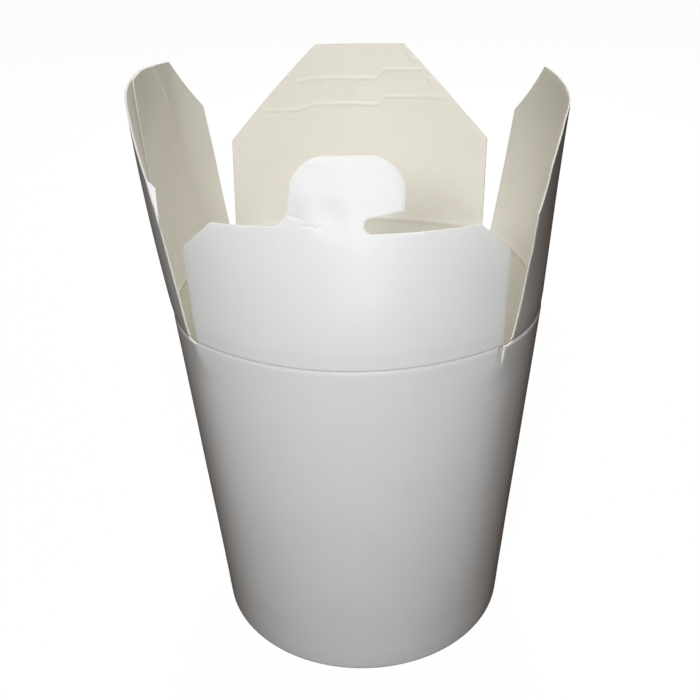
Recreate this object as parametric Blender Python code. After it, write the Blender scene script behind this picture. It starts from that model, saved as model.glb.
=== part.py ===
"""Round-based paperboard food box, open, with four flaps that fold in over its mouth.

The cup is one tapered wall, rolled under at its foot round a recessed bottom disc. Its mouth is
a square with bulging sides. A scored crease along each side carries a flap, and the front flap
ends in a hooked tongue. Metres, +Z up, and the front looks along -Y.
"""
import math
from collections import namedtuple

import bmesh
import bpy
from mathutils import Matrix, Vector

# Board and running gaps
BOARD = 0.00045
GAP = 0.0003

# Cup
AXIS = Vector((0.0013, -0.0025, 0.0))       # the cup's axis; the origin is the open box's middle
FOOT_RADIUS = 0.0420
CORNER_RADIUS = 0.0525                      # from the axis to a corner of the mouth
SIDE_RADIUS = 0.0494                        # from the axis to the middle of a side of the mouth
CREASE_HEIGHT = 0.1026                      # at the corners of the mouth
RECESS = 0.0070                             # underside of the bottom disc above the foot
HEM_HEIGHT = 0.0062
AROUND = 128                                # facets around the cup
WALL_ROWS = (0.0130, 0.0350, 0.0580, 0.0800)

# Glued lap of the wall, from the middle of the left side, as shares of a side's half width
LAP_START, LAP_END = -0.5, 0.125
LAP_FOOT = 0.0130                           # the lap is pared away below this

# Flaps
FLAP_FOOT = 0.0389                          # half width at the crease
BOW_HEIGHT = 0.050                          # where each flap's bow is given
COLUMN = 0.005
ROW = 0.006

# Hooked tongue of the front flap, across the flap and up it
NECK = Vector((-0.0168, 0.0390))            # centre of the hollow on the tongue's left
NECK_RADIUS = 0.0050
HEAD_LEFT = Vector((-0.0031, 0.0414))
HEAD_RIGHT = Vector((0.0052, 0.0415))
HEAD_RADIUS = 0.0082
HOOK = Vector((0.0132, 0.0376))             # tip of the hook
SLOT = Vector((0.0063, 0.0348))             # centre of the slot's round end
SLOT_RADIUS = 0.0018

# A side of the box. Azimuth is where it faces; dip is how far its crease sags between corners.
# Lean is the flap's slope out at its middle, twist and flare what its edges add to that, and bow
# how far its middle is bowed in at BOW_HEIGHT.
Side = namedtuple("Side", "name azimuth dip lean twist flare bow")
FRONT = Side("front", -90, 0.0011, 1.0, 0.0, 0.5, 0.0040)
BACK = Side("back", 90, 0.0011, 6.0, 0.0, 0.2, 0.0005)
LEFT = Side("left", 180, 0.0024, 8.7, -2.5, 1.1, 0.0030)
RIGHT = Side("right", 0, 0.0024, 2.4, 1.3, 8.7, 0.0)

# Where a flap's crease turns, out from the cup's axis and up
HINGE = Vector((0.0364, 0.0, CREASE_HEIGHT + GAP / 2))

HALF_CHORD = CORNER_RADIUS * math.sqrt(0.5)
RISE = SIDE_RADIUS - HALF_CHORD
ARC_RADIUS = (HALF_CHORD ** 2 + RISE ** 2) / (2 * RISE)
ARC_CENTRE = SIDE_RADIUS - ARC_RADIUS
HALF_ARC = math.asin(HALF_CHORD / ARC_RADIUS)


def clear_scene():
    for item in list(bpy.data.objects):
        bpy.data.objects.remove(item, do_unlink=True)


def board_material(name, colour):
    material = bpy.data.materials.new(name)
    material.use_nodes = True
    shader = material.node_tree.nodes["Principled BSDF"]
    shader.inputs["Base Color"].default_value = (*colour, 1.0)
    shader.inputs["Roughness"].default_value = 0.5
    shader.inputs["Metallic"].default_value = 0.0
    return material


def finished(name, mesh_maker, colour, location=AXIS):
    """A closed mesh as an object, smooth but for its board edges."""
    mesh_maker.normal_update()
    mesh = bpy.data.meshes.new(name)
    mesh_maker.to_mesh(mesh)
    mesh_maker.free()
    mesh.shade_smooth()
    mesh.set_sharp_from_angle(angle=math.radians(30))
    mesh.materials.append(board_material(name + "_board", colour))
    thing = bpy.data.objects.new(name, mesh)
    thing.location = location
    bpy.context.collection.objects.link(thing)
    return thing


# ---- Cup ----

def side_of(azimuth):
    """The side that an azimuth falls on, and the azimuth from that side's middle."""
    sides = (RIGHT, BACK, LEFT, FRONT)
    turn = round(azimuth / (math.pi / 2))
    return sides[turn % 4], azimuth - turn * math.pi / 2


def mouth(azimuth):
    """Radius, height and place along its side (-1 to 1) of the mouth's edge at this azimuth."""
    side, off = side_of(azimuth)
    across = ARC_CENTRE * math.sin(off)
    radius = ARC_CENTRE * math.cos(off) + math.sqrt(ARC_RADIUS ** 2 - across ** 2)
    along = math.asin(radius * math.sin(off) / ARC_RADIUS) / HALF_ARC
    return radius, CREASE_HEIGHT - side.dip * (1 - along ** 2), along


def cone_radius(height):
    return FOOT_RADIUS + (CORNER_RADIUS - FOOT_RADIUS) * height / CREASE_HEIGHT


def turned(profile, closed=True):
    """A shape spun about the cup's axis from an outline of radius and height."""
    maker = bmesh.new()
    points = [maker.verts.new((radius, 0.0, height)) for radius, height in profile]
    ends = zip(points, points[1:] + (points[:1] if closed else []))
    edges = [maker.edges.new(pair) for pair in ends]
    bmesh.ops.spin(maker, geom=points + edges, axis=(0, 0, 1), cent=(0, 0, 0),
                   angle=2 * math.pi, steps=AROUND, use_merge=True)
    bmesh.ops.remove_doubles(maker, verts=maker.verts, dist=1e-6)
    bmesh.ops.recalc_face_normals(maker, faces=maker.faces)
    return maker


def square_up(maker):
    """Draws a round cone out to the mouth's four bulging sides, more the higher it goes."""
    for vert in maker.verts:
        azimuth = math.atan2(vert.co.y, vert.co.x)
        radius, height, _ = mouth(azimuth)
        up = vert.co.z / CREASE_HEIGHT
        drawn = (1 - up) * FOOT_RADIUS + up * radius
        scale = drawn / cone_radius(vert.co.z)
        vert.co = Vector((vert.co.x * scale, vert.co.y * scale, up * height))


def thicken_lap(maker):
    """Doubles the wall inwards where its two ends are glued."""
    for vert in maker.verts:
        side, off = side_of(math.atan2(vert.co.y, vert.co.x))
        place = off / (math.pi / 4)
        inside = cone_radius(vert.co.z) - vert.co.xy.length > BOARD / 2
        if side is LEFT and LAP_START <= place <= LAP_END and inside and vert.co.z > LAP_FOOT:
            vert.co.xy -= vert.co.xy.normalized() * BOARD


def wall():
    """The tapered wall, with its foot rolled in and up to hold the bottom disc's rim."""
    def at(depth, height):
        return cone_radius(height) - depth, height

    slot = 2 * BOARD + 2 * GAP
    outside = [at(0, height) for height in (0, *WALL_ROWS, CREASE_HEIGHT)]
    lap_row = LAP_FOOT + 0.0015
    inside = [at(BOARD, height) for height in (CREASE_HEIGHT, *WALL_ROWS[:0:-1], lap_row, LAP_FOOT)]
    hem = [at(BOARD, BOARD), at(slot, BOARD), at(slot, HEM_HEIGHT), at(slot + BOARD, HEM_HEIGHT),
           at(slot + BOARD, 0)]
    maker = turned(outside + inside + hem)
    thicken_lap(maker)
    square_up(maker)
    return finished("wall", maker, (0.80, 0.80, 0.79))


def bottom_disc():
    """The recessed disc, with its rim turned down inside the wall's hem."""
    clear = BOARD + GAP                     # inside the wall, and above the roll of its foot
    profile = [(0.0, RECESS + BOARD),
               (cone_radius(RECESS + BOARD) - clear, RECESS + BOARD),
               (cone_radius(clear) - clear, clear),
               (cone_radius(clear) - clear - BOARD, clear),
               (cone_radius(RECESS) - clear - BOARD, RECESS),
               (0.0, RECESS)]
    maker = turned(profile, closed=False)
    square_up(maker)
    return finished("base", maker, (0.72, 0.69, 0.60))


# ---- Flaps ----

def arc(centre, radius, start, end, steps):
    """Points on an arc, from one angle to another in degrees."""
    angles = [math.radians(start + (end - start) * step / steps) for step in range(steps + 1)]
    return [centre + radius * Vector((math.cos(angle), math.sin(angle))) for angle in angles]


def crowned(left, right, rise, steps=6):
    """A top edge between two corners that stands up by rise in its middle."""
    ease = [step / steps for step in range(steps + 1)]
    return [left.lerp(right, part) + Vector((0, 4 * rise * part * (1 - part))) for part in ease]


def flap_outline(left_shoulder, left_top, top, right_top, right_shoulder):
    """A flap cut flat: across and up, from its left foot over its top to its right foot."""
    return [Vector((-FLAP_FOOT, GAP)), Vector(left_shoulder), Vector(left_top), *top,
            Vector(right_top), Vector(right_shoulder), Vector((FLAP_FOOT, GAP))]


def tongue():
    """The hooked tongue of the front flap, from its neck round its head to the slot under it."""
    return [*arc(NECK, NECK_RADIUS, -90, 10, 6),
            *arc(HEAD_LEFT, HEAD_RADIUS, 178, 90, 7),
            *arc(HEAD_RIGHT, HEAD_RADIUS, 90, 0, 7),
            HOOK + Vector((0.0001, 0.0010)), HOOK,
            *arc(SLOT, SLOT_RADIUS, 80, 270, 7)]


def bent(side, across, up, depth):
    """Where a point of the flat flap lies once the flap is curved and leans, depth inside it."""
    lean, twist, flare = (math.radians(angle) for angle in (side.lean, side.twist, side.flare))

    def skin(across, up):
        angle = across / (ARC_RADIUS + up * math.sin(lean))
        along = angle / HALF_ARC
        slope = lean + twist * along + flare * along ** 2
        bow = side.bow * (up / BOW_HEIGHT) ** 2 * (1 - along ** 2)
        out = ARC_RADIUS + up * math.sin(slope)
        return Vector((ARC_CENTRE + out * math.cos(angle) - bow, out * math.sin(angle),
                       CREASE_HEIGHT - side.dip * (1 - along ** 2) + up * math.cos(slope)))

    step = 1e-4
    sideways = skin(across + step, up) - skin(across - step, up)
    upwards = skin(across, up + step) - skin(across, up - step)
    return skin(across, up) - depth * sideways.cross(upwards).normalized()


def cut_grid(maker, low, high, pitch, normal):
    """Cuts flat board on evenly spaced lines, so that it can bend."""
    for count in range(math.ceil(low / pitch), math.floor(high / pitch) + 1):
        bmesh.ops.bisect_plane(maker, geom=maker.verts[:] + maker.edges[:] + maker.faces[:],
                               plane_co=normal * count * pitch, plane_no=normal, dist=1e-6)


def lap_depth(across):
    """How much thicker than one board the left flap is here."""
    half = ARC_RADIUS * HALF_ARC
    return BOARD if LAP_START * half <= across <= LAP_END * half else 0.0


def flap(side, outline, colour):
    """A flap cut out of flat board, then bent and stood on its crease, with its origin there."""
    maker = bmesh.new()
    maker.faces.new([maker.verts.new((*point, 0.0)) for point in outline])
    cut_grid(maker, -FLAP_FOOT, FLAP_FOOT, COLUMN, Vector((1, 0, 0)))
    cut_grid(maker, 0.0, max(point.y for point in outline), ROW, Vector((0, 1, 0)))
    bmesh.ops.remove_doubles(maker, verts=maker.verts, dist=2e-5)
    bmesh.ops.triangulate(maker, faces=maker.faces)
    made = bmesh.ops.extrude_face_region(maker, geom=maker.faces[:])["geom"]
    for vert in (item for item in made if isinstance(item, bmesh.types.BMVert)):
        vert.co.z = 1.0
    for vert in maker.verts:
        depth = vert.co.z * (BOARD + (lap_depth(vert.co.x) if side is LEFT else 0.0))
        vert.co = bent(side, vert.co.x, vert.co.y, depth) - HINGE
    facing = Matrix.Rotation(math.radians(side.azimuth), 3, "Z")
    bmesh.ops.rotate(maker, verts=maker.verts, cent=(0, 0, 0), matrix=facing)
    bmesh.ops.recalc_face_normals(maker, faces=maker.faces)
    return finished("flap_" + side.name, maker, colour, AXIS + facing @ HINGE)


def flaps():
    flap(FRONT, flap_outline((-0.0401, 0.0246), (-0.0309, 0.0328), tongue(),
                             (0.0309, 0.0325), (0.0391, 0.0244)), (0.82, 0.83, 0.84))
    flap(BACK, flap_outline((-0.0392, 0.0272), (-0.0118, 0.0532), [],
                            (0.0149, 0.0532), (0.0410, 0.0271)), (0.72, 0.69, 0.60))
    left_top = (Vector((-0.0268, 0.0550)), Vector((0.0256, 0.0557)))
    flap(LEFT, flap_outline((-0.0387, 0.0394), left_top[0], crowned(*left_top, 0.0018)[1:-1],
                            left_top[1], (0.0406, 0.0381)), (0.72, 0.69, 0.60))
    right_top = (Vector((-0.0261, 0.0550)), Vector((0.0256, 0.0524)))
    flap(RIGHT, flap_outline((-0.0384, 0.0384), right_top[0], crowned(*right_top, 0.0005)[1:-1],
                             right_top[1], (0.0397, 0.0367)), (0.72, 0.69, 0.60))


def main():
    clear_scene()
    wall()
    bottom_disc()
    flaps()


main()
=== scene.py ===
"""Looks of an open paperboard food box: its board, creases, glued lap and rolled foot.

The box is one white blank wound round a bottom disc. Each piece is cut out of flat board, as the
real blank is, and then bent to its place. The flat sheet's own lengths stay on it as its UV map,
in metres: across from the middle of its side, and up from its crease. What happens to the board
follows it round the curves. Metres, +Z up, and the front looks along -Y.
"""
import math
from collections import namedtuple

import bmesh
import bpy
from bpy.props import FloatProperty, FloatVectorProperty, PointerProperty
from bpy.types import Operator, Panel, PropertyGroup
from mathutils import Matrix, Vector, noise


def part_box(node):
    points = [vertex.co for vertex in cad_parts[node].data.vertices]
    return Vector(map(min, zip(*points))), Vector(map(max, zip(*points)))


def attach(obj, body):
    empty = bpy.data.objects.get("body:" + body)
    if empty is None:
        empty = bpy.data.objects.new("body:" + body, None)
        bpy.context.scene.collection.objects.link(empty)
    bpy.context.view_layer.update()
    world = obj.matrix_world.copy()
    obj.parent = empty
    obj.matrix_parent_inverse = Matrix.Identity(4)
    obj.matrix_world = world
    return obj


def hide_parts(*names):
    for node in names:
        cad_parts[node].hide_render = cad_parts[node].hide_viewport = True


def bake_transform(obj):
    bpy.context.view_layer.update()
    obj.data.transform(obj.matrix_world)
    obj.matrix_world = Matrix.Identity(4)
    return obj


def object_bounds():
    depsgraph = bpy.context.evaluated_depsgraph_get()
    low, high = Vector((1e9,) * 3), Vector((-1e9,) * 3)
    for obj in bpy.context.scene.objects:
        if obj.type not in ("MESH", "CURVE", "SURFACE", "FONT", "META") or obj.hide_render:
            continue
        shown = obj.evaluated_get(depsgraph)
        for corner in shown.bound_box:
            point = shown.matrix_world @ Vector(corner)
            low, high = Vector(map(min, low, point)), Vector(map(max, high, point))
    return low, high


bl_info = {
    "name": "Paperboard food box",
    "version": (1, 0, 0),
    "blender": (4, 5, 0),
    "location": "3D View > Sidebar > Food Box",
    "description": "Builds an open round-based paperboard food box with four flaps",
    "category": "Add Mesh",
}

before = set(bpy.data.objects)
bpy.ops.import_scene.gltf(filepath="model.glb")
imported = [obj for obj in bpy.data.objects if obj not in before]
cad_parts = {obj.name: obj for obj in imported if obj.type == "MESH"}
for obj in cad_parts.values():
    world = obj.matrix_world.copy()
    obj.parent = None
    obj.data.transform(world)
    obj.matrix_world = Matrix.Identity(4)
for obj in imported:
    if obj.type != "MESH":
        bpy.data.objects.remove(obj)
CAD_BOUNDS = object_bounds()
WALL_LOW, WALL_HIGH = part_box("wall")
BASE_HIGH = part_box("base")[1]
AXIS = Vector(((WALL_LOW.x + WALL_HIGH.x) / 2, (WALL_LOW.y + WALL_HIGH.y) / 2, 0.0))
MM = 0.001
TOUCHING = 1e-6                             # points of flat board this near a line are on it


# ---- Sizes and colours that can be changed ----

class BoxSizes(PropertyGroup):
    """The box's driving sizes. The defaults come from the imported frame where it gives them."""
    foot_radius: FloatProperty(
        name="Foot radius", description="Outside radius of the cup where it stands",
        default=0.0420, unit="LENGTH")
    corner_radius: FloatProperty(
        name="Corner radius", description="From the cup's axis to a corner of its mouth",
        default=0.0525, unit="LENGTH")
    side_radius: FloatProperty(
        name="Side radius", description="From the cup's axis to the middle of a side of its mouth",
        default=(WALL_HIGH.x - WALL_LOW.x) / 2, unit="LENGTH")
    crease_height: FloatProperty(
        name="Crease height", description="Height of the mouth's corners above the foot",
        default=WALL_HIGH.z, unit="LENGTH")
    disc_height: FloatProperty(
        name="Disc height", description="Height of the bottom disc's upper face",
        default=BASE_HIGH.z, unit="LENGTH")
    board: FloatProperty(
        name="Board", description="Thickness of the paperboard", default=0.00045, unit="LENGTH")
    roll_radius: FloatProperty(
        name="Foot roll", description="Outside radius of the roll at the foot",
        default=0.00097, unit="LENGTH")
    score_depth: FloatProperty(
        name="Score depth", description="How deep a crease is pressed into the outside",
        default=0.00042, unit="LENGTH")


class BoardColours(PropertyGroup):
    """The paperboard's colours."""
    outside: FloatVectorProperty(
        name="Outside", description="Clay-coated outside of the board", subtype="COLOR",
        default=(0.827, 0.846, 0.849), min=0.0, max=1.0)
    inside: FloatVectorProperty(
        name="Inside", description="Film-coated inside of the board", subtype="COLOR",
        default=(0.812, 0.793, 0.718), min=0.0, max=1.0)
    core: FloatVectorProperty(
        name="Core", description="Bare fibres at a cut edge", subtype="COLOR",
        default=(0.670, 0.655, 0.610), min=0.0, max=1.0)
    # Dark colour used as painted shade along each crease's score, with a little real crease wear,
    # and as the real dirt of rubbed places and flecks
    grime_and_crease_shade: FloatVectorProperty(
        name="Grime_and_crease_shade", description="What gathers in a crease and in rubbed places", subtype="COLOR",
        default=(0.38, 0.365, 0.345), min=0.0, max=1.0)


class StudioSettings(PropertyGroup):
    """Camera and lights."""
    lens: FloatProperty(name="Lens", description="Focal length in millimetres", default=49.27)
    distance: FloatProperty(
        name="Distance", description="From the camera to what it looks at",
        default=0.2710, unit="LENGTH")
    azimuth: FloatProperty(
        name="Azimuth", description="How far the camera stands round to the right of the front",
        default=math.radians(4.105), subtype="ANGLE")
    elevation: FloatProperty(
        name="Elevation", description="How far the camera looks down",
        default=math.radians(28.49), subtype="ANGLE")
    roll: FloatProperty(
        name="Roll", description="How far the camera is tilted about its own line of sight",
        default=math.radians(-1.432), subtype="ANGLE")
    high_power: FloatProperty(
        name="High light", description="Power of the light high in front, in watts", default=1.33)
    camera_power: FloatProperty(
        name="Camera light", description="Power of the light beside the camera, in watts",
        default=0.72)
    low_power: FloatProperty(
        name="Low light", description="Power of the light low in front, in watts", default=0.06)
    side_power: FloatProperty(
        name="Side lights", description="Power of each faint light beside the box, in watts",
        default=0.11)
    back_power: FloatProperty(
        name="Back light", description="Power of the light behind the box, in watts", default=4.8)
    room: FloatVectorProperty(
        name="Room", description="Dim warm light from all round", subtype="COLOR",
        default=(0.036, 0.021, 0.012), min=0.0, max=1.0)
    paper: FloatProperty(
        name="Paper", description="How bright the floor and the backdrop look", default=0.97,
        min=0.0, max=1.0)


# ---- The box's form ----

# A side of the box. Azimuth is where it faces; dip is how far its crease sags between corners.
# Shoulder is how much of the full score depth its crease sinks by. Lean is the flap's slope out at
# its middle, twist and flare what its edges add to that, and bow how far its middle is bowed in at
# BOW_HEIGHT.
Side = namedtuple("Side", "name azimuth dip shoulder lean twist flare bow")
FRONT = Side("front", -90, 0.0011, 0.28, 1.0, 0.0, 0.5, 0.0040)
RIGHT = Side("right", 0, 0.0024, 1.0, 2.4, 1.3, 8.7, 0.0)
BACK = Side("back", 90, 0.0011, 0.7, 6.0, 0.0, 0.2, 0.0005)
LEFT = Side("left", 180, 0.0024, 0.7, 9.1, -2.5, 1.1, 0.0030)
SIDES = (FRONT, RIGHT, BACK, LEFT)          # in the order of their azimuths
BOW_HEIGHT = 50 * MM

# The slit between two flaps, from the one left of the front on round to the right. Low and high are
# its two sides, and cut a fine cut that runs on down into the wall, all by their place from the
# corner. Depth is how far that cut goes, and push how far the wall on its left is pushed in.
Slit = namedtuple("Slit", "low high cut depth push")
SLITS = (Slit(-4.5 * MM, 0.45 * MM, 0.15 * MM, 2.2 * MM, 0.12 * MM),
         Slit(-0.85 * MM, 3.6 * MM, -0.45 * MM, 6.5 * MM, 0.65 * MM),
         Slit(-3.2 * MM, 1.3 * MM, 0.9 * MM, 3.0 * MM, 0.20 * MM),
         Slit(2.5 * MM, 6.1 * MM, 2.9 * MM, 3.0 * MM, 0.20 * MM))
CUT_GAP = 0.05 * MM                         # half width of the fine cut
PUSH_REACH = 2.2 * MM                       # how far from the cut its push is felt
# A slit's end is rounded over SLIT_ROUND in from each of its sides, down to SLIT_SIDE, and goes on
# down to SLIT_FLOOR at the cut
SLIT_ROUND, SLIT_SIDE, SLIT_FLOOR = 0.5 * MM, -0.40 * MM, -0.55 * MM

# Where the blank's two ends stop on the left side: the outer one short of its middle, seen from
# the back, and the inner one past it
OUTER_END, INNER_END = -19 * MM, 5.3 * MM
LAP_FOOT = 8 * MM                           # the inner end is cut away below this
HEM_HEIGHT = 6.2 * MM
RIM = 0.06 * MM                             # how far a cut edge is rounded
EDGE_REACH = 1.8 * MM                       # how far in from a cut edge its wear reaches

# A crease across its line. Inside it is a bead. Outside, the wall's round shoulder curves down to
# it, a fine groove runs along it, and the flap's foot stays set back and then settles.
BEAD_DEPTH, BEAD_WIDTH = 0.24 * MM, 0.85 * MM
SHOULDER_WIDTH, SHOULDER_CURVE = 1.15 * MM, 1.65 * MM
GROOVE_DEPTH, GROOVE_HEIGHT, GROOVE_WIDTH = 0.09 * MM, 0.15 * MM, 0.25 * MM
SETBACK, SCORE_WIDTH = 0.15 * MM, 0.42 * MM
# Distances from a crease at which the board is divided, for its round shoulder and its score
SHOULDER = [-step * 0.13 * MM for step in range(10)]
SCORE = [0.1 * MM, 0.2 * MM, 0.3 * MM, 0.42 * MM, 0.6 * MM, 0.9 * MM]

# How far the mouth's corners are rounded: at the creases, and how much more lower down
CORNER_ROUND, LOWER_ROUND = 0.04 * MM, 0.75 * MM
IMPRINT = 0.07 * MM                         # how far the bottom disc presses the wall out
LAP_CLEARANCE, LAP_EASE = 0.03 * MM, 8 * MM         # between the lapped sheets; and before the lap
# How far the board is slack, and how far apart its swells are
WALL_SLACK, WALL_SWELL = 0.10 * MM, 22 * MM
FLAP_SLACK, FLAP_SWELL = 0.12 * MM, 19 * MM


def smooth(low, high, value):
    """0 below low, 1 above high, and an even ease between them."""
    part = min(max((value - low) / (high - low), 0.0), 1.0)
    return part * part * (3 - 2 * part)


def ridge(reach, away):
    """1 on a line, easing to 0 at reach on either side of it."""
    return 1.0 - smooth(0.0, reach, abs(away))


def from_line(point, line, reach=math.inf):
    """Distance of a point from a line of several straight runs. Runs out of reach don't count."""
    nearest = math.inf
    for start, end in zip(line, line[1:]):
        if any(min(low, high) - reach > place or place > max(low, high) + reach
               for place, low, high in zip(point, start, end)):
            continue
        run = Vector(end) - Vector(start)
        part = min(max((point - Vector(start)).dot(run) / run.length_squared, 0.0), 1.0)
        nearest = min(nearest, (Vector(start) + part * run - point).length)
    return nearest


class Form:
    """What follows from the box's sizes: the arcs of its mouth, and where its board lies."""

    def __init__(self, sizes):
        self.foot = sizes.foot_radius
        self.height = sizes.crease_height
        self.board = sizes.board
        self.roll = sizes.roll_radius
        self.score = sizes.score_depth
        self.disc_height = sizes.disc_height
        half_chord = sizes.corner_radius * math.sqrt(0.5)
        rise = sizes.side_radius - half_chord
        self.arc_radius = (half_chord ** 2 + rise ** 2) / (2 * rise)
        self.arc_centre = sizes.side_radius - self.arc_radius
        self.half_arc = math.asin(half_chord / self.arc_radius)
        self.half_side = self.arc_radius * self.half_arc

    def sag(self, side, along):
        """How far a crease lies below the corners. Past a corner, the next side's crease counts."""
        if abs(along) > 1:
            side, along = SIDES[SIDES.index(side) - 1], 2 - abs(along)
        return side.dip * (1 - along ** 2)

    def crease_relief(self, up, inside, shoulder):
        """How far a crease sets the board in: a bead inside, a shoulder and a score outside."""
        if inside:
            return BEAD_DEPTH * math.exp(-(up / BEAD_WIDTH) ** 2)
        if up < -SHOULDER_WIDTH:
            return 0.0
        sunk = shoulder * self.score
        setback = min(SETBACK, sunk)
        groove = GROOVE_DEPTH * math.exp(-((up - GROOVE_HEIGHT) / GROOVE_WIDTH) ** 2)
        if up < 0:
            fall, full = (SHOULDER_CURVE - math.sqrt(SHOULDER_CURVE ** 2 - far ** 2)
                          for far in (up + SHOULDER_WIDTH, SHOULDER_WIDTH))
            return sunk * fall / full + groove
        settle = setback * (1 - smooth(0.5 * MM, 5 * MM, up))
        return settle + (sunk - setback) * math.exp(-(up / SCORE_WIDTH) ** 2) + groove

    # -- the wall, by its length round the mouth from the middle of the front --

    def mouth(self, around):
        """Side, place along it from -1 to 1, radius, and angle off the way the side faces."""
        turn = round(around / (2 * self.half_side))
        side = SIDES[turn % 4]
        along = around / self.half_side - 2 * turn
        angle = along * self.half_arc
        out = self.arc_centre + self.arc_radius * math.cos(angle)
        across = self.arc_radius * math.sin(angle)
        return side, along, math.hypot(out, across), math.atan2(across, out)

    def rounded(self, off, radius, reach):
        """The mouth's radius with the corner to the next side rounded off over reach."""
        past = math.pi / 2 - abs(off)
        across = self.arc_centre * math.sin(past)
        other = self.arc_centre * math.cos(past) + math.sqrt(self.arc_radius ** 2 - across ** 2)
        return radius - reach * math.log(1 + math.exp((radius - other) / reach))

    def wall_skin(self, around, height, inside):
        """A point of the wall's outside, or where that would be by the creases seen inside."""
        side, along, radius, off = self.mouth(around)
        below = self.height - height
        reach = CORNER_ROUND + LOWER_ROUND * smooth(1 * MM, 12 * MM, below)
        radius = self.rounded(off, radius, reach)
        up = height / self.height
        out = (1 - up) * self.foot + up * radius
        number = round((around / self.half_side + 1) / 2)
        slit = SLITS[number % 4]
        past = around - (2 * number - 1) * self.half_side - slit.cut
        push = slit.push * (1 - smooth(0, slit.depth, below)) * ridge(PUSH_REACH, past) * (past < 0)
        imprint = IMPRINT * (1 - smooth(5.5 * MM, 10 * MM, height))
        azimuth = math.radians(side.azimuth) + off
        facing = math.radians(side.azimuth) + along * self.half_arc
        relief = self.crease_relief(height - self.height, inside, side.shoulder) + push
        level = up * (self.height - self.sag(side, along))
        outwards = Vector((math.cos(azimuth), math.sin(azimuth), 0))
        slack = WALL_SLACK * uneven(outwards * self.foot + Vector((0, 0, height)), WALL_SWELL)
        slack *= smooth(1 * MM, 14 * MM, below) * smooth(9 * MM, 22 * MM, height)
        return (outwards * (out + imprint + slack)
                - Vector((math.cos(facing), math.sin(facing), 0)) * relief + Vector((0, 0, level)))

    def wall_place(self, around, up, depth):
        """Where a point of the flat wall lies. Up is from the crease; depth is into the board."""
        inside = depth > self.board / 2
        depth += self.lap_offset(around - 6 * self.half_side)
        height = self.height + up
        past = self.roll - height
        if past > math.pi * self.roll:
            depth, height = 2 * self.roll - depth, past - (math.pi - 1) * self.roll
        elif past > 0:
            turn = past / self.roll
            depth, height = (self.roll - (self.roll - depth) * math.cos(turn),
                             self.roll - (self.roll - depth) * math.sin(turn))
        return offset(self.wall_skin, inside, around, height, depth)

    def lap_offset(self, across):
        """How far in the blank's inner end lies under its outer end, by place on the left side."""
        return (self.board + LAP_CLEARANCE) * smooth(OUTER_END - LAP_EASE, OUTER_END, across)

    # -- the flaps, by their length across from the middle and up from the crease --

    def flap_skin(self, side, relief):
        """A function that gives a point of a flap's outside. Relief sets the board in."""
        lean, twist, flare = (math.radians(angle) for angle in (side.lean, side.twist, side.flare))

        def skin(across, up, inside):
            angle = across / (self.arc_radius + up * math.sin(lean))
            along = angle / self.half_arc
            slope = lean + twist * along + flare * along ** 2
            bow = side.bow * (up / BOW_HEIGHT) ** 2 * (1 - along ** 2)
            out = self.arc_radius + up * math.sin(slope)
            out -= self.crease_relief(up, inside, side.shoulder)
            slack = uneven(Vector((across, up, side.azimuth * MM)), FLAP_SWELL)
            out += FLAP_SLACK * slack * smooth(1 * MM, 14 * MM, up) - relief(across, up)
            return Vector((self.arc_centre + out * math.cos(angle) - bow, out * math.sin(angle),
                           self.height - self.sag(side, along) + up * math.cos(slope)))
        return skin


def uneven(place, size):
    """Smooth noise from -1 to 1 or so, with swells about size apart."""
    return noise.noise(place / size)


def offset(skin, inside, across, up, depth):
    """A point of a skin, moved into the board by depth. Its slope is felt out a small step away."""
    step = 0.05 * MM
    sideways = skin(across + step, up, inside) - skin(across - step, up, inside)
    upwards = skin(across, up + step, inside) - skin(across, up - step, inside)
    return skin(across, up, inside) - depth * sideways.cross(upwards).normalized()


# ---- Flat board ----

BOARD_FINISHES = ("coated_outside", "coated_inside", "cut_edge")
NICK = 0.26 * MM                            # half width of a holding nick
MERGE = 0.004 * MM                          # nearer corners of flat board become one
SHARP_ANGLE = math.radians(32)


def arc(centre, radius, start, end, steps):
    """Points on an arc, from one angle to another in degrees."""
    angles = [math.radians(start + (end - start) * step / steps) for step in range(steps + 1)]
    return [centre + radius * Vector((math.cos(angle), math.sin(angle))) for angle in angles]


def spaced(low, high, pitch):
    """Even places from low to high, about a pitch apart."""
    count = max(1, round((high - low) / pitch))
    return [low + (high - low) * step / count for step in range(count + 1)]


def nicked(outline, place):
    """The outline with a holding nick at a place on it: a tiny tab that was torn and not cut."""
    runs = list(zip(outline, outline[1:] + outline[:1]))
    index = min(range(len(runs)), key=lambda number: from_line(place, runs[number]))
    start, end = runs[index]
    along = (end - start).normalized() * NICK
    out = Vector((along.y, -along.x))
    foot = start + along * (place - start).dot(along) / NICK ** 2
    tab = [foot - along, foot - along * 0.6 + out, foot + along * 0.6 + out * 0.8, foot + along]
    return outline[:index + 1] + tab + outline[index + 1:]


def edge_closeness(point, cuts):
    """1 on a cut edge of flat board, easing to 0 at EDGE_REACH from it."""
    return ridge(EDGE_REACH, min(from_line(point, cut, EDGE_REACH) for cut in cuts))


def cut_along(maker, point, normal, reach=math.inf, **clear):
    """Cuts flat board on a straight line, no further than reach from a point of that line."""
    middle = Vector((*point, 0.0))
    if reach == math.inf:
        cut = [*maker.verts, *maker.edges, *maker.faces]
    else:
        faces = [face for face in maker.faces
                 if (face.calc_center_median() - middle).length < reach]
        cut = [*{vert for face in faces for vert in face.verts},
               *{edge for face in faces for edge in face.edges}, *faces]
    bmesh.ops.bisect_plane(maker, geom=cut, plane_co=middle, plane_no=(*normal, 0.0),
                           dist=TOUCHING, **clear)


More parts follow.
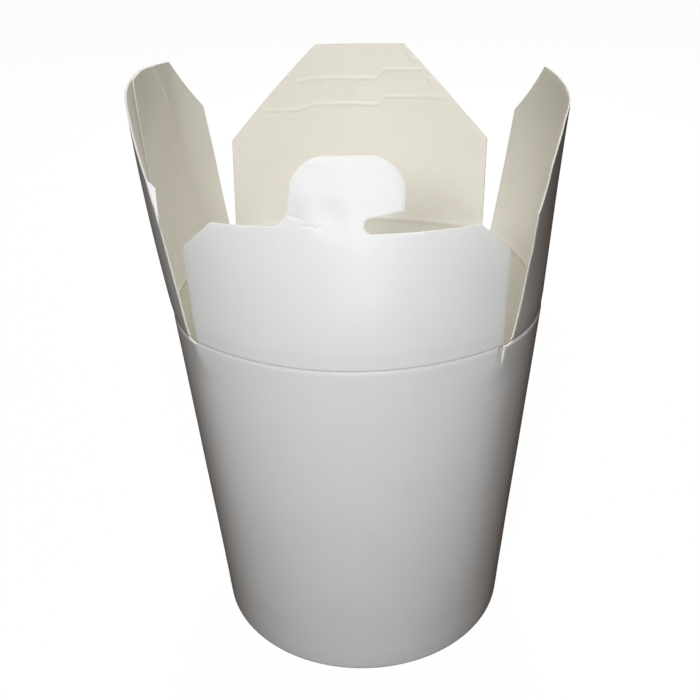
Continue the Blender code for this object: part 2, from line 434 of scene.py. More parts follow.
def flat_board(outline, columns, rows, folds=(), span=None):
    """Board cut to an outline, with a rounded rim, and divided so that it can bend.

    Folds are points, normals and reaches of further cuts. Span keeps only what lies between two
    places across the board.
    """
    maker = bmesh.new()
    maker.faces.new([maker.verts.new((*point, 0.0)) for point in outline])
    if span:
        cut_along(maker, (span[0], 0.0), (1.0, 0.0), clear_inner=True)
        cut_along(maker, (span[1], 0.0), (1.0, 0.0), clear_outer=True)
    whole, = maker.faces
    kept = [vert.co.xy.copy() for vert in whole.verts]
    bmesh.ops.inset_region(maker, faces=maker.faces[:], thickness=RIM, use_boundary=True,
                           use_even_offset=True)
    for place in columns:
        cut_along(maker, (place, 0.0), (1.0, 0.0))
    for place in rows:
        cut_along(maker, (0.0, place), (0.0, 1.0))
    for point, normal, reach in folds:
        cut_along(maker, point, normal, reach)
    bmesh.ops.remove_doubles(maker, verts=maker.verts, dist=MERGE)
    edge = maker.verts.layers.float.new("edge")
    cuts = [run for run in zip(kept, kept[1:] + kept[:1])
            if abs(run[0].y) + abs(run[1].y) > TOUCHING]
    for vert in maker.verts:
        vert[edge] = edge_closeness(vert.co.xy, cuts)
    return maker


def thicken(maker):
    """Gives flat board its inside and its cut rim. Height 0 is the outside skin, 1 the inside.

    The rim is rounded only where the board is cut, and not along the crease.
    """
    rim = maker.verts.layers.float.new("rim")
    for vert in maker.verts:
        vert[rim] = float(vert.is_boundary and abs(vert.co.y) >= TOUCHING)
    made = bmesh.ops.extrude_face_region(maker, geom=maker.faces[:])["geom"]
    for vert in (item for item in made if isinstance(item, bmesh.types.BMVert)):
        vert.co.z = 1.0
    layer = maker.loops.layers.uv.new("board")
    for face in maker.faces:
        levels = {vert.co.z for vert in face.verts}
        face.material_index = 2 if len(levels) == 2 else int(levels.pop())
        for corner in face.loops:
            corner[layer].uv = corner.vert.co.xy
    return rim


def bend(maker, rim, place, board):
    """Moves every point of thickened board to where it lies in the box."""
    for vert in maker.verts:
        rounding = RIM * vert[rim]
        depth = board - rounding if vert.co.z > 0.5 else rounding
        vert.co = place(vert.co.x, vert.co.y, depth)


def turned_in(point, depth, fold, normal, angle, radius):
    """Flat place and depth of a point of board, once the corner past a fold is turned inwards.

    The fold goes through a point, and the corner lies along its normal.
    """
    past = (point - fold).dot(normal)
    if past <= 0:
        return point, depth
    turn = min(past / radius, angle)
    rest = past - turn * radius
    reach = (radius - depth) * math.sin(turn) + rest * math.cos(turn)
    rise = radius - (radius - depth) * math.cos(turn) + rest * math.sin(turn)
    return point + (reach - past) * normal, rise


def across_fold(fold, normal, reach=5 * MM, spread=0.9 * MM, count=6):
    """Cuts beside a fold, so that the board there can turn."""
    return [(fold + normal * step, normal, reach) for step in spaced(0.0, spread, spread / count)]


def linked(name, data):
    """A new object in the scene."""
    thing = bpy.data.objects.new(name, data)
    bpy.context.scene.collection.objects.link(thing)
    return thing


def finished(name, maker, finishes):
    """A mesh as a piece of the box, in place, with its finishes in order."""
    bmesh.ops.translate(maker, verts=maker.verts, vec=AXIS)
    bmesh.ops.recalc_face_normals(maker, faces=maker.faces)
    mesh = bpy.data.meshes.new(name)
    maker.to_mesh(mesh)
    maker.free()
    mesh.shade_smooth()
    mesh.set_sharp_from_angle(angle=SHARP_ANGLE)
    for finish in finishes:
        mesh.materials.append(bpy.data.materials[finish])
    return linked(name, mesh)


# ---- Wall ----

def slit_end(number, form):
    """The rounded end of a slit between two flaps, and the fine cut that runs on into the wall."""
    corner, slit = (2 * number - 1) * form.half_side, SLITS[number]
    left, right = (min(SLIT_ROUND, abs(end - slit.cut) / 2) for end in (slit.low, slit.high))
    points = [(slit.low, 0.0), (slit.low + left, SLIT_SIDE), (slit.cut - CUT_GAP, SLIT_FLOOR),
              (slit.cut - CUT_GAP, -slit.depth), (slit.cut + CUT_GAP, -slit.depth),
              (slit.cut + CUT_GAP, SLIT_FLOOR), (slit.high - right, SLIT_SIDE), (slit.high, 0.0)]
    return [Vector((corner + x, y)) for x, y in points]


def wall_outline(form):
    """The wall cut flat, from its outer end on the left side round to its inner end there."""
    start = -2 * form.half_side + OUTER_END
    end = 6 * form.half_side + INNER_END
    foot = -form.height + form.roll - math.pi * form.roll - (HEM_HEIGHT - form.roll)
    lap = 6 * form.half_side + OUTER_END
    top = [point for number in range(4) for point in slit_end(number, form)]
    return [Vector((start, foot)), Vector((start, 0.0)), *top, Vector((end, 0.0)),
            Vector((end, LAP_FOOT - form.height)), Vector((lap, LAP_FOOT - form.height)),
            Vector((lap, foot))][::-1]


def build_wall(form):
    """The wall. It is divided more finely beside its slits, creases, imprint and rolled foot."""
    outline = wall_outline(form)
    start, end = (edge(point.x for point in outline) for edge in (min, max))
    foot = min(point.y for point in outline)
    corners = [(2 * side - 1) * form.half_side for side in range(4)]
    columns = spaced(start, end, 1.7 * MM)
    columns += [corner + step for corner, slit in zip(corners, SLITS)
                for step in spaced(slit.low - 2 * MM, slit.high + 2 * MM, 0.4 * MM)]
    bottom = form.roll - form.height
    hem = bottom - math.pi * form.roll
    rows = list(SHOULDER)
    for low, high, pitch in ((-14 * MM, -1.5 * MM, 0.9 * MM),
                             (9 * MM - form.height, -14 * MM, 2.2 * MM),
                             (2 * MM - form.height, 9 * MM - form.height, 0.3 * MM),
                             (hem, bottom, 0.25 * MM), (foot, hem, 1.5 * MM)):
        rows += spaced(low, high, pitch)
    maker = flat_board(outline, columns, rows)
    rim = thicken(maker)
    bend(maker, rim, form.wall_place, form.board)
    return finished("cup_wall", maker, BOARD_FINISHES)


# ---- Bottom disc ----

DISC_BEND = 1.4 * MM                        # radius of the bend at the disc's rim
RIM_FOOT = 1.1 * MM                         # height of that rim's lower edge
DISC_CLEARANCE = 0.08 * MM


def build_disc(form):
    """The recessed disc, with its rim turned down inside the rolled foot."""
    def wall_inside(height):
        """Radius at which the disc's rim clears the wall's inside at a height."""
        slope = (WALL_HIGH.x - WALL_LOW.x) / 2 - form.foot
        return form.foot + slope * height / form.height - form.board - DISC_CLEARANCE

    top, thick, foot = form.disc_height, form.board, wall_inside(RIM_FOOT)
    centre = Vector((wall_inside(top) - DISC_BEND, top)) + Vector((0, -DISC_BEND))
    profile = [Vector((0.0, top)), *arc(centre, DISC_BEND, 90, 0, 6), Vector((foot, RIM_FOOT)),
               Vector((foot - thick, RIM_FOOT)), *arc(centre, DISC_BEND - thick, 0, 90, 6),
               Vector((0.0, top - thick))]
    maker = bmesh.new()
    points = [maker.verts.new((point.x, 0.0, point.y)) for point in profile]
    edges = [maker.edges.new(pair) for pair in zip(points, points[1:])]
    bmesh.ops.spin(maker, geom=points + edges, axis=(0, 0, 1), cent=(0, 0, 0),
                   angle=2 * math.pi, steps=160, use_merge=True)
    bmesh.ops.remove_doubles(maker, verts=maker.verts, dist=MERGE / 2)
    layer = maker.loops.layers.uv.new("board")
    for face in maker.faces:
        for corner in face.loops:
            corner[layer].uv = corner.vert.co.xy + Vector((0, corner.vert.co.z - form.height))
    return finished("bottom_disc", maker, ("coated_inside",))


# ---- Flaps ----

# Outlines of the flaps between their feet, across and up
FRONT_LEFT = ((-0.0401, 0.0246), (-0.0309, 0.0328))
FRONT_RIGHT = ((0.0309, 0.0325), (0.0391, 0.0244))
BACK_EDGE = ((-0.0388, 0.0272), (-0.0305, 0.0346), (-0.0118, 0.0532), (0.0143, 0.0532),
             (0.0154, 0.0524), (0.0416, 0.0271))
LEFT_BACK = ((-0.0349, 0.0005), (-0.0346, 0.0013), (-0.0359, 0.0140), (-0.0374, 0.0260),
             (-0.0385, 0.0392))
LEFT_FRONT = ((0.0259, 0.0548), (0.0383, 0.0385), (0.0382, 0.0365), (0.0376, 0.0240),
              (0.0371, 0.0120), (0.0359, 0.0014), (0.0362, 0.0006))
RIGHT_FRONT = ((-0.0373, 0.0006), (-0.0369, 0.0014), (-0.0371, 0.0130), (-0.0380, 0.0255),
               (-0.0396, 0.0340), (-0.0385, 0.0369), (-0.0376, 0.0410), (-0.0374, 0.0448),
               (-0.0360, 0.0482), (-0.0340, 0.0516), (-0.0333, 0.0535))
RIGHT_BACK = ((0.0388, 0.0367), (0.0380, 0.0220), (0.0375, 0.0013), (0.0378, 0.0005))
# Tops of the side flaps: their two ends, and how far they stand up between
LEFT_TOP = (Vector((-0.0268, 0.0552)), Vector((0.0256, 0.0561)), 2.5 * MM)
RIGHT_TOP = (Vector((-0.0298, 0.0553)), Vector((0.0256, 0.0524)), 0.5 * MM)
# Holding nicks in the front flap's cut edge
NICKS = ((0.0391, 0.0068), (0.0172, 0.0326), (-0.0114, 0.0446))

# Hooked tongue of the front flap, across the flap and up it
NECK = Vector((-0.0168, 0.0390))            # centre of the hollow on the tongue's left
NECK_RADIUS = 0.0050
HEAD_LEFT = Vector((-0.0031, 0.0414))
HEAD_RIGHT = Vector((0.0052, 0.0415))
HEAD_RADIUS = 0.0082
HOOK = Vector((0.0132, 0.0376))             # tip of the hook
SLOT = Vector((0.0063, 0.0348))             # centre of the slot's round end
SLOT_RADIUS = 0.0018

# Lines that a lock has pressed into the back flap, deep and faint: across and up, in millimetres,
# as all lines and dents are
PRESSED = (((23.2, 44.4), (20.6, 42.6), (15.7, 43.5), (-3.5, 43.1), (-5.9, 45.7), (-18.0, 45.9)),
           ((30.8, 35.0), (20.9, 34.4), (15.6, 35.9), (-4.1, 35.5), (-5.9, 37.8), (-24.7, 38.1)))
FAINT = (((20.6, 42.6), (20.9, 34.4)), ((32.0, 23.0), (32.2, 34.0)), ((12.6, 43.3), (12.2, 39.0)),
         ((-17.5, 47.5), (-23.0, 41.0)))
# Small buckles beside the back flap's sloping edge
BUCKLES = (((-13.1, 51.2), (-14.3, 49.2), (-15.6, 48.4)),
           ((-19.9, 43.4), (-20.6, 41.9), (-22.2, 40.0)))
# Short creases at the neck of the tongue, where it has been flexed
WRINKLES = (((-11.4, 36.7), (-9.0, 36.4)),
            ((-8.6, 34.6), (-7.1, 34.8), (-5.4, 34.2), (-4.5, 34.8)))
# The left flap's upright kink, and the ridge where its outer sheet climbs over the inner one
KINK = ((-6.5, 58.0), (-6.5, 53.9), (-6.7, 50.2), (-6.4, 44.9), (-4.3, 37.6))
RAMP = ((-15.3, 58.0), (-16.1, 56.0), (-17.3, 53.2), (-19.6, 50.0), (-21.4, 44.2))
# Depth of each kind of line, and its reach on either side
DEEP_PRESS, FAINT_PRESS, BUCKLE_PRESS = (0.16, 0.75), (0.09, 0.8), (0.20, 1.0)
WRINKLE_PRESS, RAMP_PRESS, KINK_PRESS = (0.07, 0.60), (0.17, 1.2), (0.42, 9)
# Shallow dents in a flap: across, up, reach and depth
FRONT_DENTS = ((-2.6, 37.0, 6.0, 0.34), (-7.5, 41.0, 5.5, -0.18), (-11.5, 37.5, 4.0, 0.10),
               (3.5, 30.0, 8.0, -0.12))
LEFT_DENTS = ((-4.2, 5.1, 4.0, 0.10), (-30.0, 30.0, 9.0, 0.12))
# The front corner of the left flap is turned in past a line that rises from FOLD, in metres
FOLD, FOLD_SLOPE = Vector((0.0362, 0.0396)), math.radians(97)
FOLD_TURN, FOLD_RADIUS = math.radians(78), 0.50 * MM


def dented(dents, across, up):
    """How far shallow dents set the board in at a point."""
    point = Vector((across, up)) / MM
    return sum(depth * ridge(reach, (point - Vector((x, y))).length)
               for x, y, reach, depth in dents) * MM


def pressed(lines, press, across, up):
    """How far lines pressed into the board set it in at a point."""
    depth, reach = press
    point = Vector((across, up)) / MM
    return depth * MM * max(ridge(reach, from_line(point, line, reach)) for line in lines)


def tongue():
    """The hooked tongue of the front flap, from its neck round its head to the slot under it."""
    return [*arc(NECK, NECK_RADIUS, -90, 10, 16),
            *arc(HEAD_LEFT, HEAD_RADIUS, 178, 90, 20),
            *arc(HEAD_RIGHT, HEAD_RADIUS, 90, 0, 20),
            HOOK + Vector((0.0001, 0.0010)), HOOK,
            *arc(SLOT, SLOT_RADIUS, 80, 270, 16)]


def crowned(left, right, rise, steps=16):
    """A top edge between two corners that stands up by rise in its middle."""
    ease = [step / steps for step in range(steps + 1)]
    return [left.lerp(right, part) + Vector((0, 4 * rise * part * (1 - part))) for part in ease]


def flap_outline(form, side, points):
    """A flap cut flat: across and up, from its left foot by its points to its right foot."""
    number = SIDES.index(side)
    left = SLITS[number].high - form.half_side
    right = SLITS[(number + 1) % 4].low + form.half_side
    return [Vector((left, 0.0)), *(Vector(point) for point in points), Vector((right, 0.0))][::-1]


def flap_place(form, side, relief):
    """A function that gives where a point of a flat flap lies, before its side is turned to."""
    skin = form.flap_skin(side, relief)
    return lambda across, up, depth: offset(skin, depth > form.board / 2, across, up, depth)


def build_flap(form, side, outline, place, columns=(), rows=(), folds=(), span=None):
    """A flap cut out of flat board, then bent and stood on its crease.

    Columns and rows are further places at which the board is divided, where it has fine relief.
    """
    low, high = (edge(point.x for point in outline) for edge in (min, max))
    top = max(point.y for point in outline)
    columns = [*spaced(low, high, 0.9 * MM), *columns]
    rows = [*SCORE, *spaced(1.3 * MM, top, 0.85 * MM), *rows]
    maker = flat_board(outline, columns, rows, folds, span)
    rim = thicken(maker)
    bend(maker, rim, place, form.board)
    bmesh.ops.rotate(maker, verts=maker.verts, cent=(0, 0, 0),
                     matrix=Matrix.Rotation(math.radians(side.azimuth), 3, "Z"))
    return maker


def build_front_flap(form):
    """The front flap, with the tongue that hooks the closed box together."""
    outline = flap_outline(form, FRONT, [*FRONT_LEFT, *tongue(), *FRONT_RIGHT])
    for place in NICKS:
        outline = nicked(outline, Vector(place))

    def relief(across, up):
        return pressed(WRINKLES, WRINKLE_PRESS, across, up) + dented(FRONT_DENTS, across, up)

    maker = build_flap(form, FRONT, outline, flap_place(form, FRONT, relief),
                       spaced(-12 * MM, -4 * MM, 0.3 * MM), spaced(33.5 * MM, 37.5 * MM, 0.25 * MM))
    return finished("front_flap", maker, BOARD_FINISHES)


def build_back_flap(form):
    """The back flap, divided more finely across and along the bands of its pressed lines."""
    outline = flap_outline(form, BACK, BACK_EDGE)

    def relief(across, up):
        if up < 20 * MM:
            return 0.0
        return (pressed(PRESSED, DEEP_PRESS, across, up) + pressed(FAINT, FAINT_PRESS, across, up)
                + pressed(BUCKLES, BUCKLE_PRESS, across, up))

    steps = [place for low, high in ((-7.0, -3.0), (15.0, 21.5), (-20.0, -12.5))
             for place in spaced(low * MM, high * MM, 0.4 * MM)]
    bands = [place for low, high in ((33.8, 38.6), (42.0, 46.6), (48.0, 51.6))
             for place in spaced(low * MM, high * MM, 0.3 * MM)]
    maker = build_flap(form, BACK, outline, flap_place(form, BACK, relief), steps, bands)
    return finished("back_flap", maker, BOARD_FINISHES)


def build_left_flap(form):
    """The left flap is two sheets where the blank's outer end laps over its inner one."""
    outline = flap_outline(form, LEFT, [*LEFT_BACK, *crowned(*LEFT_TOP), *LEFT_FRONT])
    normal = Vector((math.sin(FOLD_SLOPE), -math.cos(FOLD_SLOPE)))

    def relief(across, up):
        depth, reach = KINK_PRESS
        away = from_line(Vector((across, up)) / MM, KINK, reach)
        kink = depth * MM * max(0.0, 1 - away / reach) * smooth(34 * MM, 44 * MM, up)
        return dented(LEFT_DENTS, across, up) + pressed((RAMP,), RAMP_PRESS, across, up) - kink

    place, skin = flap_place(form, LEFT, relief), form.flap_skin(LEFT, relief)

    def outer(across, up, depth):
        """A point of the outer sheet, whose front corner is turned in."""
        point, depth = turned_in(Vector((across, up)), depth, FOLD, normal, FOLD_TURN, FOLD_RADIUS)
        return place(*point, depth)

    def inner(across, up, depth):
        """A point of the inner sheet, which lies under the outer one at the lap."""
        return offset(skin, depth > form.board / 2, across, up, depth + form.lap_offset(across))

    beyond = 50 * MM
    fine = [*spaced(-23 * MM, -15.5 * MM, 0.3 * MM), *spaced(-8 * MM, -3.5 * MM, 0.4 * MM)]
    maker = build_flap(form, LEFT, outline, outer, fine, folds=across_fold(FOLD, normal),
                       span=(OUTER_END, beyond))
    other = build_flap(form, LEFT, outline, inner, fine, span=(-beyond, INNER_END))
    sheet = bpy.data.meshes.new("inner_sheet")
    other.to_mesh(sheet)
    other.free()
    maker.from_mesh(sheet)
    bpy.data.meshes.remove(sheet)
    return finished("left_flap", maker, BOARD_FINISHES)


def build_right_flap(form):
    """The right flap is plain board."""
    outline = flap_outline(form, RIGHT, [*RIGHT_FRONT, *crowned(*RIGHT_TOP), *RIGHT_BACK])
    maker = build_flap(form, RIGHT, outline, flap_place(form, RIGHT, lambda across, up: 0.0))
    return finished("right_flap", maker, BOARD_FINISHES)


# ---- Finishes ----

class Wiring:
    """Adds nodes to a shader tree and joins them. Every call gives back an output socket."""

    def __init__(self, tree):
        self.tree = tree

    def add(self, kind, output, **inputs):
        """A node of a kind, with its inputs fed by name; an underscore stands for a space."""
        node = self.tree.nodes.new("ShaderNode" + kind)
        for name, value in inputs.items():
            self.feed(node.inputs[name.replace("_", " ")], value)
        return node.outputs[output]

    def feed(self, socket, value):
        """Joins an output to a socket, or sets the socket's own value."""
        if isinstance(value, bpy.types.NodeSocket):
            self.tree.links.new(value, socket)
        else:
            socket.default_value = value

    def math(self, operation, *values):
        """The result of a sum on values."""
        node = self.tree.nodes.new("ShaderNodeMath")
        node.operation = operation
        for socket, value in zip(node.inputs, values):
            self.feed(socket, value)
        return node.outputs["Value"]

    def scaled(self, place, *factors):
        """A place multiplied along each direction."""
        node = self.tree.nodes.new("ShaderNodeVectorMath")
        node.operation = "MULTIPLY"
        self.feed(node.inputs[0], place)
        node.inputs[1].default_value = factors
        return node.outputs["Vector"]

    def noise(self, place, size, detail=2.0):
        """Noise whose features are about size metres across, from 0 to 1."""
        return self.add("TexNoise", "Fac", Vector=place, Scale=1 / size, Detail=detail)

    def ramp(self, value, low, high, start=0.0, end=1.0):
        """A smooth change from start to end, as a value goes from low to high."""
        node = self.tree.nodes.new("ShaderNodeMapRange")
        node.interpolation_type = "SMOOTHSTEP"
        for socket, number in zip(node.inputs, (value, low, high, start, end)):
            self.feed(socket, number)
        return node.outputs["Result"]

    def mix(self, factor, first, second):
        """A mix of two colours."""
        node = self.tree.nodes.new("ShaderNodeMix")
        node.data_type = "RGBA"
        self.feed(node.inputs["Factor"], factor)
        for socket, colour in ((node.inputs[6], first), (node.inputs[7], second)):
            self.feed(socket, colour)
        return node.outputs[2]

    def toned(self, colour, tone):
        """A colour made lighter or darker."""
        node = self.tree.nodes.new("ShaderNodeVectorMath")
        node.operation = "SCALE"
        self.feed(node.inputs[0], colour)
        self.feed(node.inputs["Scale"], tone)
        return node.outputs["Vector"]

    def group(self, name, output, **inputs):
        """One output of a node group placed in this tree."""
        return self.place(name, **inputs).outputs[output]

    def place(self, name, **inputs):
        """A node group placed in this tree, with its inputs fed by name."""
        node = self.tree.nodes.new("ShaderNodeGroup")
        node.node_tree = bpy.data.node_groups[name]
        for label, value in inputs.items():
            self.feed(node.inputs[label], value)
        return node


def new_group(name, inputs, outputs):
    """A shader node group. Returns its wiring, its input node's sockets and its output node's."""
    group = bpy.data.node_groups.new(name, "ShaderNodeTree")
    for label, default in inputs.items():
        kind = "Vector" if default is None else "Float"
        socket = group.interface.new_socket(label, in_out="INPUT", socket_type="NodeSocket" + kind)
        if default is not None:
            socket.default_value = default
    for label in outputs:
        group.interface.new_socket(label, in_out="OUTPUT", socket_type="NodeSocketFloat")
    return (Wiring(group), group.nodes.new("NodeGroupInput").outputs,
            group.nodes.new("NodeGroupOutput").inputs)


def make_grain_group():
    """Board grain: cloudy fibre formation, fine fibres along the board, and a few dark flecks."""
    wires, given, out = new_group("board_grain", {"Place": None, "Cloud": 0.02, "Fibre": 0.01},
                                  ("Tone", "Fleck", "Height"))
    place = given["Place"]
    cloud = wires.math("ADD", wires.noise(place, 21 * MM, 2.0), wires.noise(place, 2.6 * MM, 4.0))
    fibres = wires.noise(wires.scaled(place, 1.0, 0.25, 1.0), 0.42 * MM, 3.0)
    fine = wires.noise(place, 0.16 * MM, 2.0)
    cloudy = wires.math("MULTIPLY_ADD", wires.math("SUBTRACT", cloud, 1.0), given["Cloud"], 1.0)
    wires.feed(out["Tone"], wires.math("MULTIPLY_ADD", wires.math("SUBTRACT", fibres, 0.5),
                                       given["Fibre"], cloudy))
    cells = wires.tree.nodes.new("ShaderNodeTexVoronoi")
    wires.feed(cells.inputs["Vector"], place)
    cells.inputs["Scale"].default_value = 1 / (9 * MM)
    near = wires.ramp(cells.outputs["Distance"], 0.010, 0.020, 1.0, 0.0)
    chosen = wires.math("GREATER_THAN", wires.add("SeparateColor", "Red",
                                                  Color=cells.outputs["Color"]), 0.72)
    wires.feed(out["Fleck"], wires.math("MULTIPLY", near, chosen))
    wires.feed(out["Height"], wires.math("MULTIPLY_ADD", fine, 0.35,
                                         wires.math("MULTIPLY", fibres, 0.65)))


def make_crease_group():
    """Crease mask along the score line, broken up as strained fibres are on real board. It roughens
    and lifts the crease, and its darkening of the colour is painted shade of the score.
    """
    wires, given, out = new_group("crease_wear", {"Place": None, "Width": 0.5 * MM}, ("Mask",))
    up = wires.add("SeparateXYZ", "Y", Vector=given["Place"])
    away = wires.math("ABSOLUTE", wires.math("SUBTRACT", up, 0.05 * MM))
    near = wires.ramp(away, 0.0, given["Width"], 1.0, 0.0)
    broken = wires.ramp(wires.noise(wires.scaled(given["Place"], 1.0, 0.3, 1.0), 1.6 * MM, 4.0),
                        0.34, 0.66, 0.75, 1.0)
    wires.feed(out["Mask"], wires.math("MULTIPLY", near, broken))


def make_rub_group():
    """Rub marks: broad patches and a few short streaks where the board has slid on others."""
    wires, given, out = new_group("rub_marks", {"Place": None, "Streaks": 0.5}, ("Mask",))
    place = given["Place"]
    patches = wires.ramp(wires.noise(place, 14 * MM, 3.0), 0.48, 0.72)
    streaks = wires.noise(wires.scaled(place, 0.12, 1.0, 1.0), 0.7 * MM, 3.0)
    streaks = wires.math("MULTIPLY", wires.ramp(streaks, 0.60, 0.72),
                         wires.ramp(wires.noise(place, 9 * MM), 0.5, 0.62))
    wires.feed(out["Mask"], wires.math("MULTIPLY_ADD", streaks, given["Streaks"],
                                       wires.math("MULTIPLY", patches, 0.6)))


def make_edge_group():
    """Edge wear: the coating is thinner and a little crushed next to a cut, more in some places."""
    wires, given, out = new_group("edge_wear", {"Place": None, "Edge": 0.0}, ("Mask",))
    patchy = wires.noise(given["Place"], 1.1 * MM, 3.0)
    level = wires.math("MULTIPLY_ADD", patchy, 0.9, wires.math("SUBTRACT", given["Edge"], 0.45))
    wires.feed(out["Mask"], wires.ramp(level, 0.45, 1.0))


def shader_of(material_name):
    """A new material's wiring and its shader's inputs."""
    material = bpy.data.materials.new(material_name)
    material.use_nodes = True
    return Wiring(material.node_tree), material.node_tree.nodes["Principled BSDF"].inputs


def make_face_finish(name, colours, face, look):
    """One face of the board: its colour, grain, rubbed places and worn edges, and painted shade
    along its creases.
    """
    wires, shader = shader_of(name)
    sheet = wires.tree.nodes.new("ShaderNodeUVMap")
    sheet.uv_map = "board"
    place = sheet.outputs["UV"]
    edge = wires.tree.nodes.new("ShaderNodeAttribute")
    edge.attribute_name = "edge"
    grain = wires.place("board_grain", Place=place, Cloud=look.cloud, Fibre=look.fibre).outputs
    crease = wires.group("crease_wear", "Mask", Place=place, Width=look.crease_width)
    rub = wires.group("rub_marks", "Mask", Place=place, Streaks=look.streaks)
    worn = wires.group("edge_wear", "Mask", Place=place, Edge=edge.outputs["Fac"])

    grime_and_crease_shade = (*colours.grime_and_crease_shade, 1.0)
    colour = wires.toned((*face,), grain["Tone"])
    colour = wires.mix(wires.math("MULTIPLY", rub, look.rub_tint), colour, grime_and_crease_shade)
    # Painted shade: the crease is darkened towards the dark colour, standing in for the shade of
    # its score, with a little real wear
    colour = wires.mix(wires.math("MULTIPLY", crease, look.crease_tint), colour, grime_and_crease_shade)
    colour = wires.mix(wires.math("MULTIPLY", worn, look.worn_tint), colour, (*colours.core, 1.0))
    colour = wires.mix(wires.math("MULTIPLY", grain["Fleck"], look.fleck), colour, grime_and_crease_shade)
    wires.feed(shader["Base Color"], colour)

    rough = wires.math("MULTIPLY_ADD", rub, look.rub_rough, look.roughness)
    rough = wires.math("MULTIPLY_ADD", wires.math("MAXIMUM", crease, worn), 0.25, rough)
    wires.feed(shader["Roughness"], rough)
    height = wires.math("MULTIPLY_ADD", crease, 0.8, grain["Height"])
    wires.feed(shader["Normal"], wires.add("Bump", "Normal", Height=height, Strength=1.0,
                                           Distance=look.relief))
    shader["Coat Weight"].default_value = look.film
    shader["Coat Roughness"].default_value = 0.28


def make_cut_finish(colours):
    """A cut edge: bare pale fibres, layered along the board and slightly ragged."""
    wires, shader = shader_of("cut_edge")
    place = wires.tree.nodes.new("ShaderNodeTexCoord").outputs["Object"]
    tufts = wires.noise(place, 0.22 * MM, 4.0)
    patches = wires.noise(place, 2.4 * MM, 2.0)
    tone = wires.math("MULTIPLY_ADD", tufts, 0.16, wires.math("MULTIPLY_ADD", patches, 0.10, 0.87))
    wires.feed(shader["Base Color"], wires.toned((*colours.core,), tone))
    wires.feed(shader["Roughness"], wires.ramp(tufts, 0.2, 0.8, 0.78, 0.95))
    wires.feed(shader["Normal"], wires.add("Bump", "Normal", Height=tufts, Strength=1.0,
                                           Distance=0.03 * MM))


# How a face of the board looks: the strengths of its grain and marks, its painted crease shade, its
# gloss and its relief
FaceLook = namedtuple("FaceLook", "cloud fibre fleck crease_width crease_tint worn_tint streaks"
                                  " rub_tint rub_rough roughness relief film")
# The outside's strong crease tint is painted shade of the score groove
OUTSIDE_LOOK = FaceLook(
    cloud=0.030, fibre=0.030, fleck=0.45, crease_width=0.62 * MM, crease_tint=0.50, worn_tint=0.10,
    streaks=0.5, rub_tint=0.05, rub_rough=0.10, roughness=0.50, relief=0.010 * MM, film=1.0)
INSIDE_LOOK = FaceLook(
    cloud=0.045, fibre=0.040, fleck=0.35, crease_width=0.55 * MM, crease_tint=0.07, worn_tint=0.16,
    streaks=0.8, rub_tint=0.06, rub_rough=0.12, roughness=0.46, relief=0.012 * MM, film=0.12)


def make_finishes(colours):
    """The board's three finishes, after the effects that they share."""
    make_grain_group()
    make_crease_group()
    make_rub_group()
    make_edge_group()
    make_face_finish("coated_outside", colours, colours.outside, OUTSIDE_LOOK)
    make_face_finish("coated_inside", colours, colours.inside, INSIDE_LOOK)
    make_cut_finish(colours)


# ---- Operators ----

class BOX_OT_finishes(Operator):
    """Makes the finishes of the board"""
    bl_idname = "food_box.finishes"
    bl_label = "Board Finishes"

    def execute(self, context):
        make_finishes(context.scene.board_colours)
        return {"FINISHED"}


class BOX_OT_cup(Operator):
    """Builds the wall, with its lap and rolled foot, and the bottom disc"""
    bl_idname = "food_box.cup"
    bl_label = "Cup"

    def execute(self, context):
        form = Form(context.scene.box_sizes)
        wall = build_wall(form)
        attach(wall, "cup")
        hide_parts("wall")
        disc = build_disc(form)
        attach(disc, "cup")
        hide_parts("base")
        return {"FINISHED"}


class BOX_OT_flaps(Operator):
    """Builds the four flaps, each stood on its crease"""
    bl_idname = "food_box.flaps"
    bl_label = "Flaps"

    def execute(self, context):
        form = Form(context.scene.box_sizes)
        builders = {"front": build_front_flap, "back": build_back_flap,
                    "left": build_left_flap, "right": build_right_flap}
        for name, build in builders.items():
            flap = build(form)
            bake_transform(flap)
            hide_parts("flap_" + name)
        return {"FINISHED"}


LOOK_OFFSET = Vector((-0.0012, -0.0026, 0.0023))    # from the box's middle to the camera's target
LIT_HEIGHT = 0.085                                  # height of the lights' target
# Power is the name of the setting that holds a light's watts. Angles are in degrees.
Light = namedtuple("Light", "name power distance azimuth elevation size")
LIGHTS = (Light("high", "high_power", 0.50, 3, 50, 0.12),
          Light("camera_light", "camera_power", 0.50, -8, 28, 0.09),
          Light("low", "low_power", 0.24, 4, 2, 0.10),
          Light("left_side", "side_power", 0.60, -90, 25, 0.30),
          Light("right_side", "side_power", 0.60, 90, 25, 0.30),
          Light("back", "back_power", 0.75, 180, 36, 0.30))


def aim(thing, place, target, roll=0.0):
    """Puts a camera or light at a place, looking at a target."""
    turn = (Vector(target) - Vector(place)).to_track_quat("-Z", "Y").to_matrix()
    thing.matrix_world = (Matrix.Translation(place)
                          @ (turn @ Matrix.Rotation(roll, 3, "Z")).to_4x4())


def towards(azimuth, elevation):
    """A direction from the box: round to the right of the front, and up."""
    return Vector((math.sin(azimuth) * math.cos(elevation),
                   -math.cos(azimuth) * math.cos(elevation), math.sin(elevation)))


def add_camera(studio):
    """The camera, which looks a little to one side of the box's middle."""
    low, high = (Vector(corner) for corner in CAD_BOUNDS)
    target = (low + high) / 2 + LOOK_OFFSET
    eye = bpy.data.cameras.new("camera")
    eye.lens = studio.lens
    eye.clip_start = 0.01
    camera = linked("camera", eye)
    place = target + towards(studio.azimuth, studio.elevation) * studio.distance
    aim(camera, place, target, studio.roll)
    bpy.context.scene.camera = camera


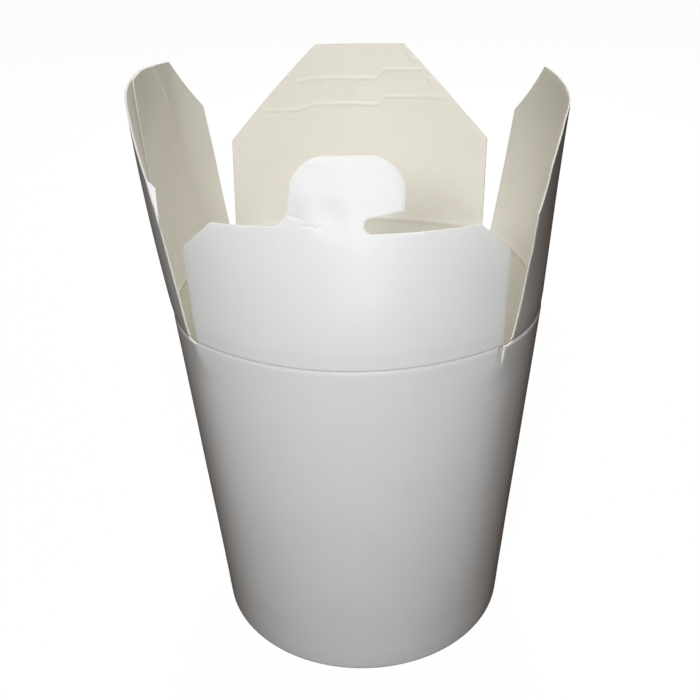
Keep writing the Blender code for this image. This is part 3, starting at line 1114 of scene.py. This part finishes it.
def add_floor(studio):
    """A pale sheet of paper that looks evenly lit, and throws no light on the box."""
    maker = bmesh.new()
    bmesh.ops.create_grid(maker, x_segments=1, y_segments=1, size=3.0)
    mesh = bpy.data.meshes.new("floor")
    maker.to_mesh(mesh)
    maker.free()
    wires, shader = shader_of("floor_paper")
    shader["Base Color"].default_value = (0.03, 0.03, 0.03, 1)
    shader["Roughness"].default_value = 1.0
    shader["Specular IOR Level"].default_value = 0.0
    shader["Emission Color"].default_value = (1, 1, 1, 1)
    shader["Emission Strength"].default_value = studio.paper
    mesh.materials.append(bpy.data.materials["floor_paper"])
    floor = linked("floor", mesh)
    floor.visible_diffuse = False
    floor.visible_glossy = False


def add_light(light, watts):
    """A round soft light, aimed at the middle of the box."""
    lamp = bpy.data.lights.new(light.name, "AREA")
    lamp.shape = "DISK"
    lamp.size = light.size
    lamp.energy = watts
    middle = AXIS + Vector((0, 0, LIT_HEIGHT))
    turn, rise = math.radians(light.azimuth), math.radians(light.elevation)
    thing = linked(light.name, lamp)
    aim(thing, middle + towards(turn, rise) * light.distance, middle)
    thing.visible_camera = False


def add_room(studio):
    """Dim light from all round, behind a backdrop that looks as pale as the floor."""
    room = bpy.data.worlds.new("room")
    room.use_nodes = True
    tree = room.node_tree
    dim = tree.nodes["Background"]
    dim.inputs["Color"].default_value = (*studio.room, 1.0)
    pale = tree.nodes.new("ShaderNodeBackground")
    pale.inputs["Color"].default_value = (studio.paper,) * 3 + (1.0,)
    mix = tree.nodes.new("ShaderNodeMixShader")
    path = tree.nodes.new("ShaderNodeLightPath")
    tree.links.new(path.outputs["Is Camera Ray"], mix.inputs["Fac"])
    tree.links.new(dim.outputs["Background"], mix.inputs[1])
    tree.links.new(pale.outputs["Background"], mix.inputs[2])
    tree.links.new(mix.outputs["Shader"], tree.nodes["World Output"].inputs["Surface"])
    bpy.context.scene.world = room


class BOX_OT_stage(Operator):
    """Sets up the floor, the lights and the camera"""
    bl_idname = "food_box.stage"
    bl_label = "Stage"

    def execute(self, context):
        studio = context.scene.studio
        add_camera(studio)
        add_floor(studio)
        for light in LIGHTS:
            add_light(light, getattr(studio, light.power))
        add_room(studio)
        context.scene.view_settings.view_transform = "Standard"
        return {"FINISHED"}


class BOX_PT_sidebar(Panel):
    """Lists the box's sizes, colours and steps"""
    bl_label = "Food Box"
    bl_idname = "BOX_PT_sidebar"
    bl_space_type = "VIEW_3D"
    bl_region_type = "UI"
    bl_category = "Food Box"

    def draw(self, context):
        layout = self.layout
        for group in (context.scene.box_sizes, context.scene.board_colours, context.scene.studio):
            box = layout.box()
            for name in group.bl_rna.properties.keys():
                if name not in ("rna_type", "name"):
                    box.prop(group, name)
        for step in STEPS:
            layout.operator(step.bl_idname)


STEPS = (BOX_OT_finishes, BOX_OT_cup, BOX_OT_flaps, BOX_OT_stage)
GROUPS = {"box_sizes": BoxSizes, "board_colours": BoardColours, "studio": StudioSettings}


def register():
    for made in (*GROUPS.values(), *STEPS, BOX_PT_sidebar):
        bpy.utils.register_class(made)
    for name, group in GROUPS.items():
        setattr(bpy.types.Scene, name, PointerProperty(type=group))


def unregister():
    for name in GROUPS:
        delattr(bpy.types.Scene, name)
    for made in reversed((*GROUPS.values(), *STEPS, BOX_PT_sidebar)):
        bpy.utils.unregister_class(made)


def main():
    register()
    bpy.ops.food_box.finishes()
    bpy.ops.food_box.cup()
    bpy.ops.food_box.flaps()
    bpy.ops.food_box.stage()


if __name__ == "__main__":
    main()
